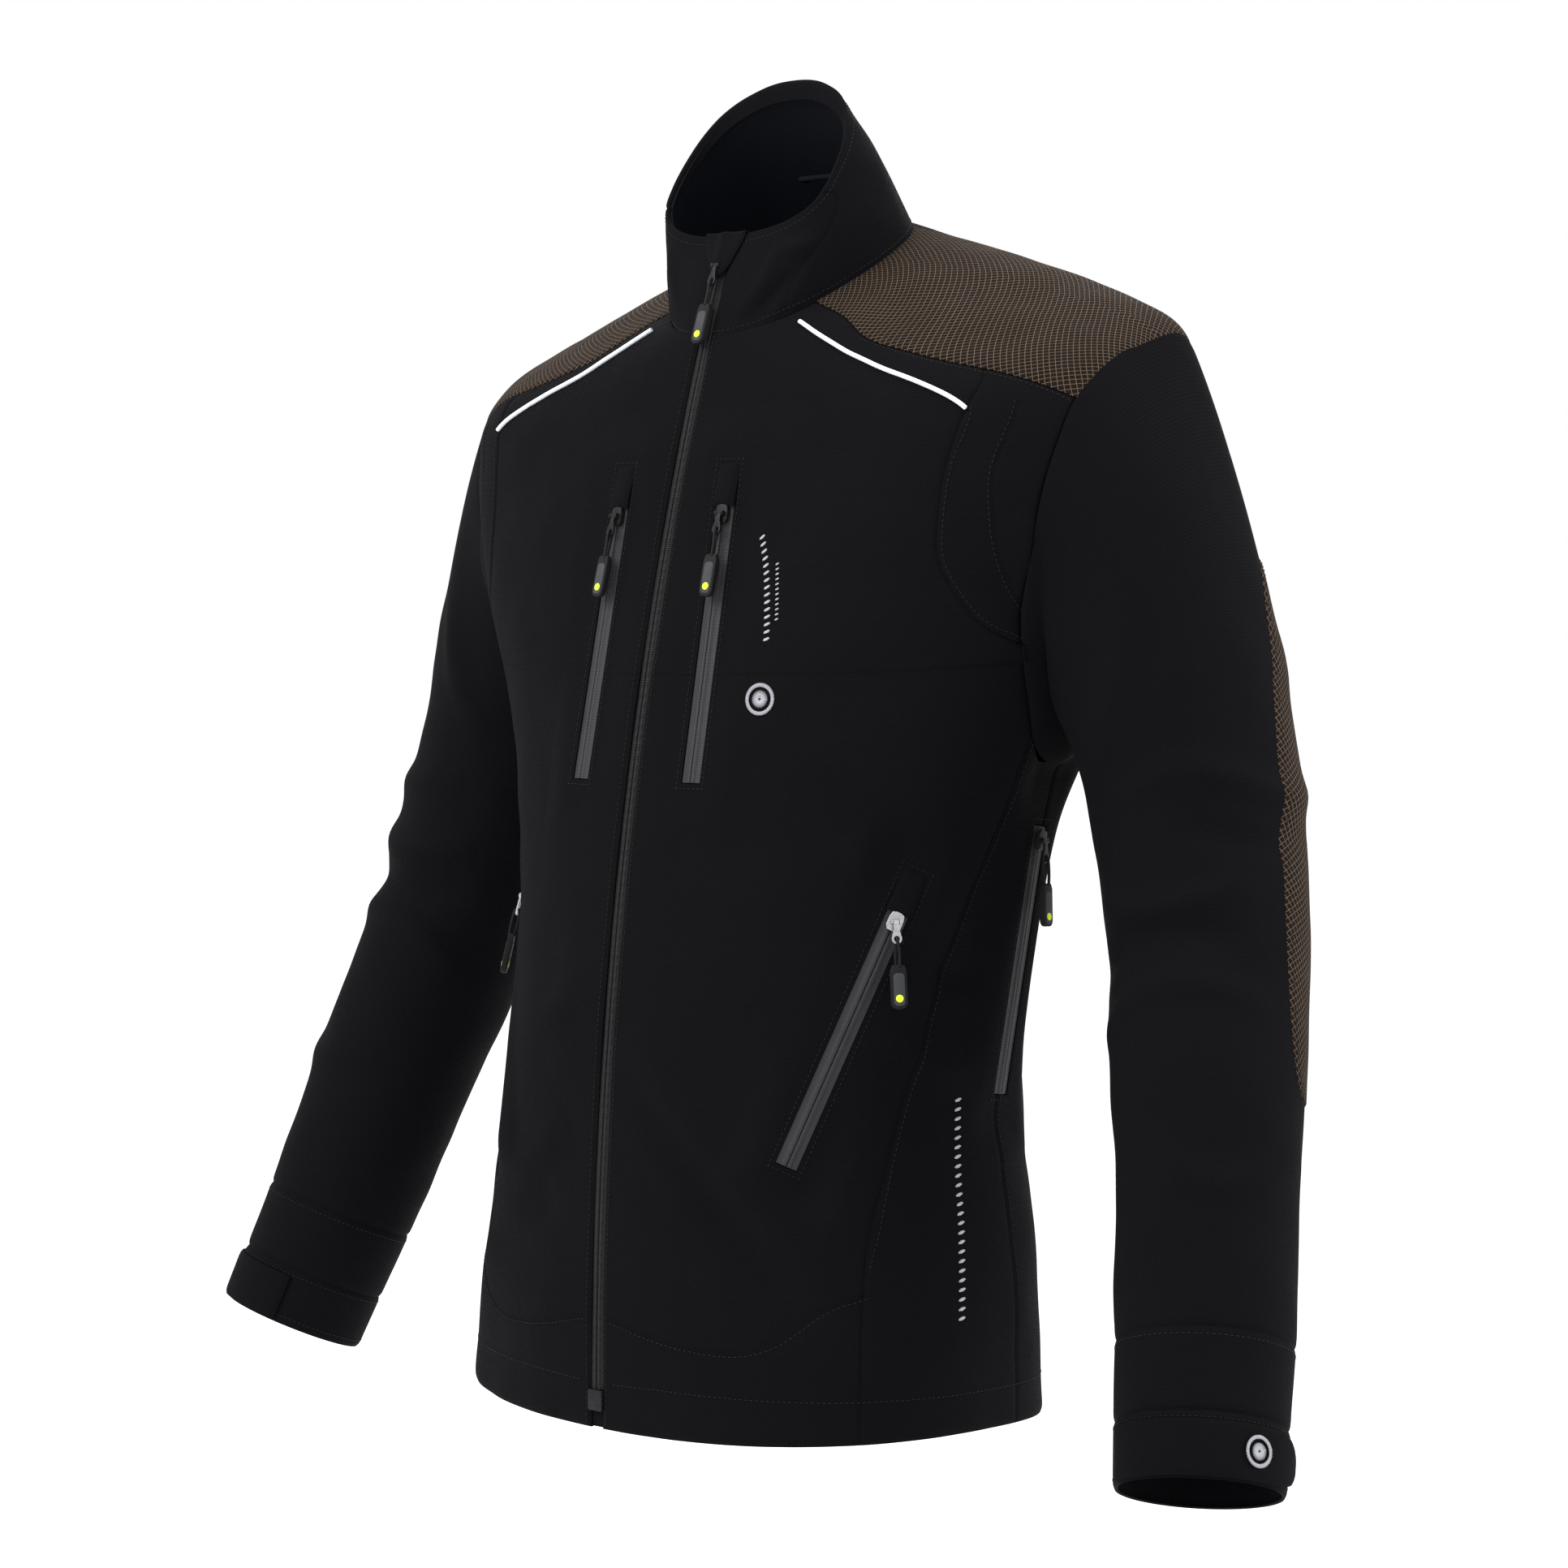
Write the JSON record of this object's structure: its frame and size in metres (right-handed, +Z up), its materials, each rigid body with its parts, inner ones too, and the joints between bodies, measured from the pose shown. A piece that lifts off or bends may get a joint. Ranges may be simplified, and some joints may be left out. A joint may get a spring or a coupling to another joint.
{
  "type": "work jacket",
  "caption": "Hip-length stretch work jacket with stand collar, zipped front, zipped pockets and vents, jointed sleeves and cuff tabs.",
  "frame": {"origin": "middle of the neck opening at the collar seam", "axes": "+Z up as worn, -Y out of the front, +X to the wearer's left"},
  "size_m": [0.8058, 0.2815, 0.775],
  "materials": {
    "softshell": "near-black stretch soft-shell with a fine crosswise weave",
    "reinforcement": "dense black reinforcing cloth, stitched on",
    "grid_cloth": "brown stretch cloth with a raised beige grid",
    "lining": "dark blue-black brushed lining",
    "piping": "pale grey reflective piping",
    "zip_tape": "matt charcoal coated zip tape with coil",
    "black_metal": "black lacquered die-cast metal",
    "silver_metal": "dull silver die-cast metal",
    "pull_rubber": "black cord with a moulded tab and a lime spot"
  },
  "bodies": {
    "jacket_body": {"back_panel": "softshell", "left_front_panel": "softshell", "right_front_panel": "softshell", "left_side_panel": "softshell", "right_side_panel": "softshell", "left_shoulder_yoke": "grid_cloth", "right_shoulder_yoke": "grid_cloth", "hem_band": "lining", "left_piping": "piping", "right_piping": "piping", "collar_shell": "softshell", "collar_lining": "lining", "hang_loop": "softshell", "left_chest_pocket_bag": "lining", "right_chest_pocket_bag": "lining", "left_hand_pocket_bag": "lining", "right_hand_pocket_bag": "lining", "zip_guard": "lining", "main_zip_left_tape": "zip_tape", "main_zip_right_tape": "zip_tape", "main_zip_box": "black_metal", "left_chest_zip_tape": "zip_tape", "left_hand_zip_tape": "zip_tape", "left_vent_zip_tape": "zip_tape", "right_chest_zip_tape": "zip_tape", "right_hand_zip_tape": "zip_tape", "right_vent_zip_tape": "zip_tape"},
    "main_slider": {"main_zip_slider": "black_metal"},
    "main_puller": {"main_zip_puller": "black_metal"},
    "main_pull": {"main_zip_pull": "pull_rubber"},
    "left_chest_slider": {"left_chest_zip_slider": "black_metal"},
    "left_chest_puller": {"left_chest_zip_puller": "black_metal"},
    "left_chest_pull": {"left_chest_zip_pull": "pull_rubber"},
    "left_hand_slider": {"left_hand_zip_slider": "silver_metal"},
    "left_hand_puller": {"left_hand_zip_puller": "silver_metal"},
    "left_hand_pull": {"left_hand_zip_pull": "pull_rubber"},
    "left_vent_slider": {"left_vent_zip_slider": "black_metal"},
    "left_vent_pull": {"left_vent_zip_pull": "pull_rubber"},
    "right_chest_slider": {"right_chest_zip_slider": "black_metal"},
    "right_chest_puller": {"right_chest_zip_puller": "black_metal"},
    "right_chest_pull": {"right_chest_zip_pull": "pull_rubber"},
    "right_hand_slider": {"right_hand_zip_slider": "silver_metal"},
    "right_hand_puller": {"right_hand_zip_puller": "silver_metal"},
    "right_hand_pull": {"right_hand_zip_pull": "pull_rubber"},
    "right_vent_slider": {"right_vent_zip_slider": "black_metal"},
    "right_vent_pull": {"right_vent_zip_pull": "pull_rubber"},
    "left_arm": {"left_upper_sleeve": "softshell", "left_elbow_patch_upper": "grid_cloth"},
    "left_forearm": {"left_forearm_sleeve": "softshell", "left_cuff_band": "softshell", "left_elbow_patch_lower": "grid_cloth"},
    "left_tab": {"left_cuff_tab": "reinforcement"},
    "right_arm": {"right_upper_sleeve": "softshell", "right_elbow_patch_upper": "grid_cloth"},
    "right_forearm": {"right_forearm_sleeve": "softshell", "right_cuff_band": "softshell", "right_elbow_patch_lower": "grid_cloth"},
    "right_tab": {"right_cuff_tab": "reinforcement"}
  },
  "joints": [
    {"name": "main_zip_run", "type": "hinge", "parent": "jacket_body", "child": "main_slider", "pos_m": [0, 1.85563, -0.61282], "axis": [1, 0, 0], "range_deg": [0, 18]},
    {"name": "main_puller_flip", "type": "hinge", "parent": "main_slider", "child": "main_puller", "pos_m": [0, -0.05771, 0.01769], "axis": [-1, 0, 0], "range_deg": [0, 150]},
    {"name": "main_pull_swing", "type": "hinge", "parent": "main_puller", "child": "main_pull", "pos_m": [0, -0.06068, 0.00867], "axis": [0, -0.9498, 0.313], "range_deg": [-60, 60]},
    {"name": "left_chest_zip_run", "type": "slide", "parent": "jacket_body", "child": "left_chest_slider", "axis": [0.0146, -0.1942, -0.9808], "range_m": [0, 0.1435]},
    {"name": "left_chest_puller_flip", "type": "hinge", "parent": "left_chest_slider", "child": "left_chest_puller", "pos_m": [0.04158, -0.09824, -0.12469], "axis": [-0.9962, -0.0876, 0], "range_deg": [0, 150]},
    {"name": "left_chest_pull_swing", "type": "hinge", "parent": "left_chest_puller", "child": "left_chest_pull", "pos_m": [0.04178, -0.10057, -0.1339], "axis": [0.085, -0.9656, 0.2458], "range_deg": [-60, 60]},
    {"name": "left_hand_zip_run", "type": "slide", "parent": "jacket_body", "child": "left_hand_slider", "axis": [-0.2228, -0.3579, -0.9068], "range_m": [0, 0.1378]},
    {"name": "left_hand_puller_flip", "type": "hinge", "parent": "left_hand_slider", "child": "left_hand_puller", "pos_m": [0.14838, -0.07077, -0.34844], "axis": [-0.6235, -0.7818, 0], "range_deg": [0, 150]},
    {"name": "left_hand_pull_swing", "type": "hinge", "parent": "left_hand_puller", "child": "left_hand_pull", "pos_m": [0.15006, -0.07211, -0.3577], "axis": [0.7615, -0.6073, 0.2265], "range_deg": [-60, 60]},
    {"name": "left_vent_zip_run", "type": "slide", "parent": "jacket_body", "child": "left_vent_slider", "axis": [-0.0945, -0.1145, -0.9889], "range_m": [0, 0.1359]},
    {"name": "left_vent_pull_swing", "type": "hinge", "parent": "left_vent_slider", "child": "left_vent_pull", "pos_m": [0.17712, 0.02295, -0.31653], "axis": [0.988, 0.13, 0.0835], "range_deg": [-60, 60]},
    {"name": "right_chest_zip_run", "type": "slide", "parent": "jacket_body", "child": "right_chest_slider", "axis": [-0.0146, -0.1942, -0.9808], "range_m": [0, 0.1435]},
    {"name": "right_chest_puller_flip", "type": "hinge", "parent": "right_chest_slider", "child": "right_chest_puller", "pos_m": [-0.04158, -0.09824, -0.12469], "axis": [-0.9962, 0.0876, 0], "range_deg": [0, 150]},
    {"name": "right_chest_pull_swing", "type": "hinge", "parent": "right_chest_puller", "child": "right_chest_pull", "pos_m": [-0.04178, -0.10057, -0.1339], "axis": [-0.085, -0.9656, 0.2458], "range_deg": [-60, 60]},
    {"name": "right_hand_zip_run", "type": "slide", "parent": "jacket_body", "child": "right_hand_slider", "axis": [0.2228, -0.3579, -0.9068], "range_m": [0, 0.1378]},
    {"name": "right_hand_puller_flip", "type": "hinge", "parent": "right_hand_slider", "child": "right_hand_puller", "pos_m": [-0.14838, -0.07077, -0.34844], "axis": [-0.6235, 0.7818, 0], "range_deg": [0, 150]},
    {"name": "right_hand_pull_swing", "type": "hinge", "parent": "right_hand_puller", "child": "right_hand_pull", "pos_m": [-0.15006, -0.07211, -0.3577], "axis": [-0.7615, -0.6073, 0.2265], "range_deg": [-60, 60]},
    {"name": "right_vent_zip_run", "type": "slide", "parent": "jacket_body", "child": "right_vent_slider", "axis": [0.0945, -0.1145, -0.9889], "range_m": [0, 0.1359]},
    {"name": "right_vent_pull_swing", "type": "hinge", "parent": "right_vent_slider", "child": "right_vent_pull", "pos_m": [-0.17712, 0.02295, -0.31653], "axis": [-0.988, 0.13, 0.0835], "range_deg": [-60, 60]},
    {"name": "left_shoulder_raise", "type": "hinge", "parent": "jacket_body", "child": "left_arm", "pos_m": [0.24052, 0.02312, -0.02814], "axis": [0, -1, 0], "range_deg": [0, 45]},
    {"name": "left_elbow_bend", "type": "hinge", "parent": "left_arm", "child": "left_forearm", "pos_m": [0.29044, -0.03529, -0.34696], "axis": [-0.9686, 0, -0.2485], "range_deg": [0, 35]},
    {"name": "left_cuff_tab_open", "type": "hinge", "parent": "left_forearm", "child": "left_tab", "pos_m": [0.32811, -0.10794, -0.60839], "axis": [0.2284, -0.3078, -0.9236], "range_deg": [0, 90]},
    {"name": "right_shoulder_raise", "type": "hinge", "parent": "jacket_body", "child": "right_arm", "pos_m": [-0.24052, 0.02312, -0.02814], "axis": [0, 1, 0], "range_deg": [0, 45]},
    {"name": "right_elbow_bend", "type": "hinge", "parent": "right_arm", "child": "right_forearm", "pos_m": [-0.29044, -0.03529, -0.34696], "axis": [-0.9686, 0, 0.2485], "range_deg": [0, 35]},
    {"name": "right_cuff_tab_open", "type": "hinge", "parent": "right_forearm", "child": "right_tab", "pos_m": [-0.32811, -0.10794, -0.60839], "axis": [0.2284, 0.3078, 0.9236], "range_deg": [0, 90]}
  ]
}
